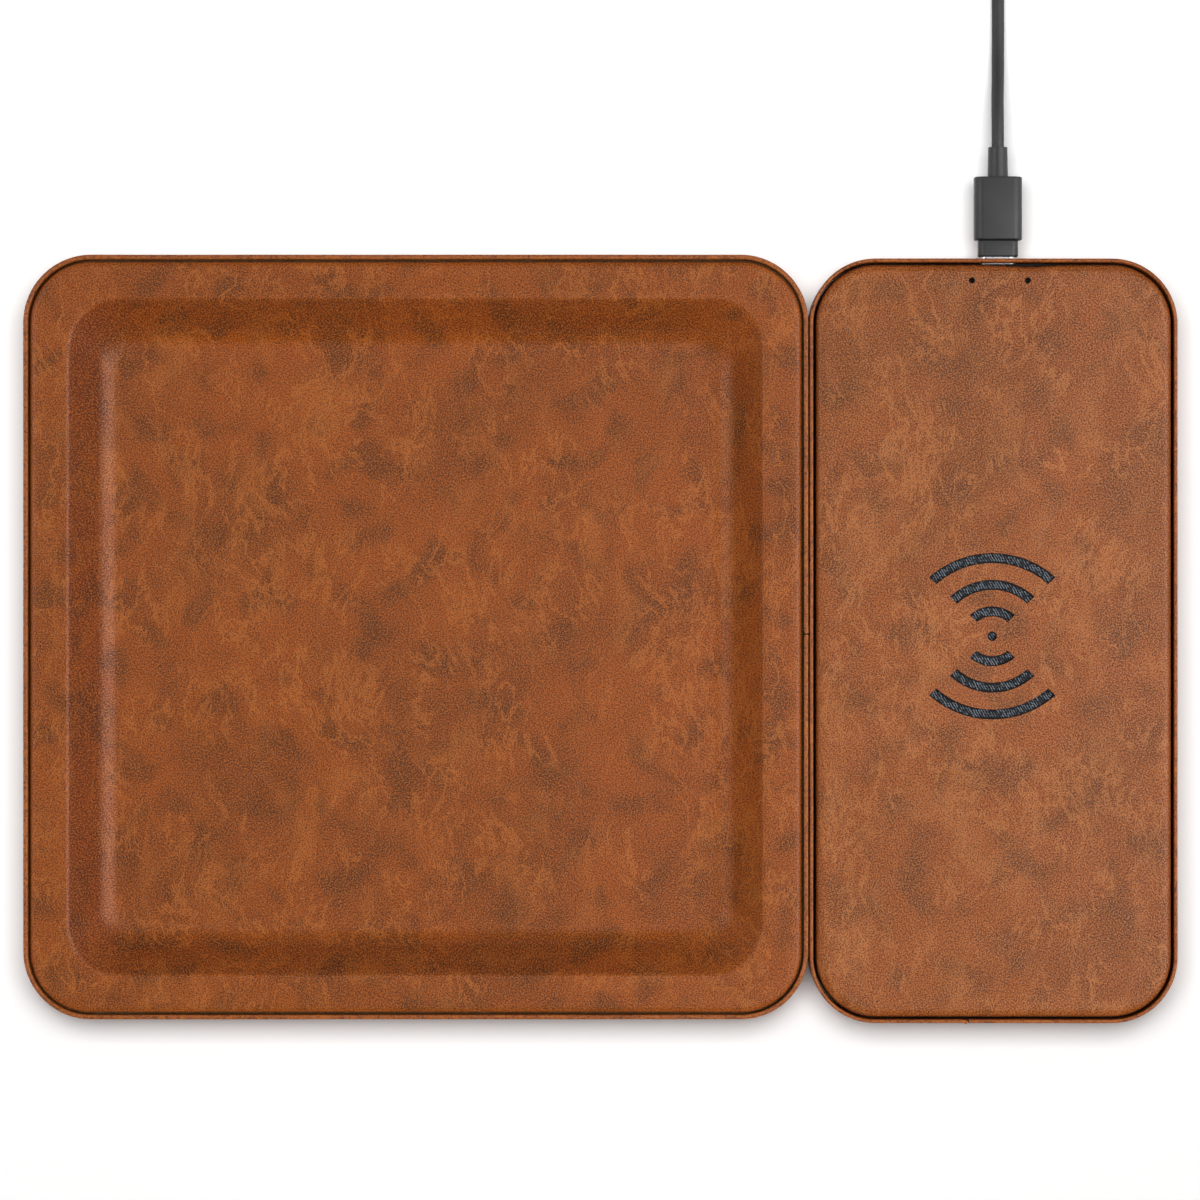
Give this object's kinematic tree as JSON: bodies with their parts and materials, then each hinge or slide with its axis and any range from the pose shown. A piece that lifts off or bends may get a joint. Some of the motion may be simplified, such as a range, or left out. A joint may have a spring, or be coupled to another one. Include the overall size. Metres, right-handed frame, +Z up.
{
  "type": "charging station organizer",
  "caption": "Leather-covered valet tray with a shallow basin and a wireless charging pad that holds to its side magnetically, fed by a USB-C lead.",
  "frame": {"origin": "on the table, under the middle of the common outline of the tray and the charging pad", "axes": "+X to the right from the tray to the charging pad, +Y to the back where the lead leaves, +Z up"},
  "size_m": [0.2808, 0.3133, 0.014],
  "materials": {
    "cover_leather": "cloudy tan-brown pull-up leather with a fine grain, satin",
    "band_leather": "the same leather as the covers, with darker cut edges",
    "fibreboard": "raw pressed fibreboard",
    "base_lining": "black microfibre",
    "black_cloth": "coarse black weave",
    "foot_rubber": "matte",
    "magnet_nickel": "nickel plated",
    "housing_plastic": "matte moulded plastic",
    "screw_steel": "zinc plated",
    "board_laminate": "green solder mask",
    "chip_resin": "matte resin",
    "ferrite": "matte dark grey",
    "capacitor_ceramic": "matte ceramic",
    "clear_plastic": "clear moulded plastic",
    "coil_copper": "enamelled copper wire",
    "carrier_plastic": "matte moulded plastic",
    "plug_steel": "drawn sheet steel",
    "contact_plastic": "matte",
    "lead_plastic": "dark grey soft-touch moulding",
    "cord_jacket": "dark grey smooth jacket",
    "tie_fabric": "black hook-and-loop strap"
  },
  "bodies": {
    "tray": {"tray_cover": "cover_leather", "tray_rim_frame": "fibreboard", "tray_base_board": "fibreboard", "tray_side_band": "band_leather", "tray_base_lining": "base_lining", "tray_feet": "foot_rubber", "tray_magnets": "magnet_nickel"},
    "charger": {"charger_cover": "cover_leather", "symbol_cloth": "black_cloth", "charger_top_plate": "housing_plastic", "charger_lower_housing": "housing_plastic", "charger_side_band": "band_leather", "charger_base_lining": "base_lining", "charger_feet": "foot_rubber", "housing_screws": "screw_steel", "charger_magnets": "magnet_nickel", "circuit_board": "board_laminate", "board_screws": "screw_steel", "usb_socket_shell": "plug_steel", "usb_socket_tongue": "contact_plastic", "control_chip": "chip_resin", "power_transistors": "chip_resin", "power_inductor": "ferrite", "resonant_capacitors": "capacitor_ceramic", "status_leds": "clear_plastic", "light_pipes": "clear_plastic", "charging_coil": "coil_copper", "magnetic_shield": "ferrite", "coil_carrier": "carrier_plastic", "coil_leads": "coil_copper"},
    "lead": {"plug_shell": "plug_steel", "plug_contacts": "contact_plastic", "plug_nose": "lead_plastic", "plug_grip": "lead_plastic", "plug_strain_relief": "lead_plastic", "cord_run": "cord_jacket", "cord_coil": "cord_jacket", "cord_tie": "tie_fabric", "usb_a_strain_relief": "lead_plastic", "usb_a_grip": "lead_plastic", "usb_a_shell": "plug_steel", "usb_a_tongue": "contact_plastic"}
  },
  "joints": [
    {"name": "charger_slide", "type": "slide", "parent": "tray", "child": "charger", "axis": [1, 0, 0], "range_m": [0, 0.06]},
    {"name": "plug_slide", "type": "slide", "parent": "charger", "child": "lead", "axis": [0, 1, 0], "range_m": [0, 0.012]}
  ]
}
